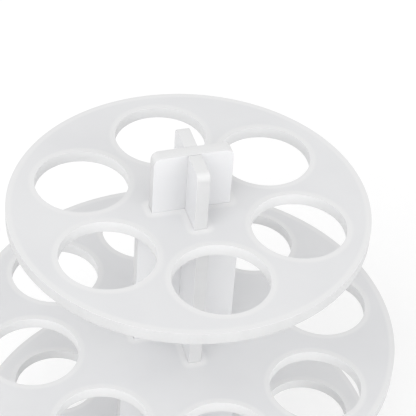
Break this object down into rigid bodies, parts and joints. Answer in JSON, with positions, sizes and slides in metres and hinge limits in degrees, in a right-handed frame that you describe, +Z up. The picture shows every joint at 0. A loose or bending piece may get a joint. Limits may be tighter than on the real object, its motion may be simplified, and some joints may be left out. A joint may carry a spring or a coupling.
{
  "type": "spool holder stand",
  "caption": "Tiered round stand: flat plates with round holes, dropped over a stepped column of crossed upright sheets that ends in flared feet.",
  "frame": {"origin": "on the floor, at the centre of the four feet, under the column's axis", "axes": "+Z up along the column, +X along the main panel, +Y along the cross panel"},
  "size_m": [0.176, 0.176, 0.2268],
  "materials": {
    "frosted_sheet": "frosted translucent white acrylic sheet with cut edges"
  },
  "bodies": {
    "cross_panel": {"cross_panel": "frosted_sheet"},
    "main_panel": {"main_panel": "frosted_sheet"},
    "top_plate": {"top_plate": "frosted_sheet"},
    "middle_plate": {"middle_plate": "frosted_sheet"},
    "bottom_plate": {"bottom_plate": "frosted_sheet"}
  },
  "joints": [
    {"name": "main_panel_lift", "type": "slide", "parent": "cross_panel", "child": "main_panel", "axis": [0, 0, 1], "range_m": [0, 0.103]},
    {"name": "top_plate_lift", "type": "slide", "parent": "main_panel", "child": "top_plate", "axis": [0, 0, 1], "range_m": [0, 0.031]},
    {"name": "middle_plate_lift", "type": "slide", "parent": "main_panel", "child": "middle_plate", "axis": [0, 0, 1], "range_m": [0, 0.061]},
    {"name": "bottom_plate_lift", "type": "slide", "parent": "main_panel", "child": "bottom_plate", "axis": [0, 0, 1], "range_m": [0, 0.061]}
  ]
}
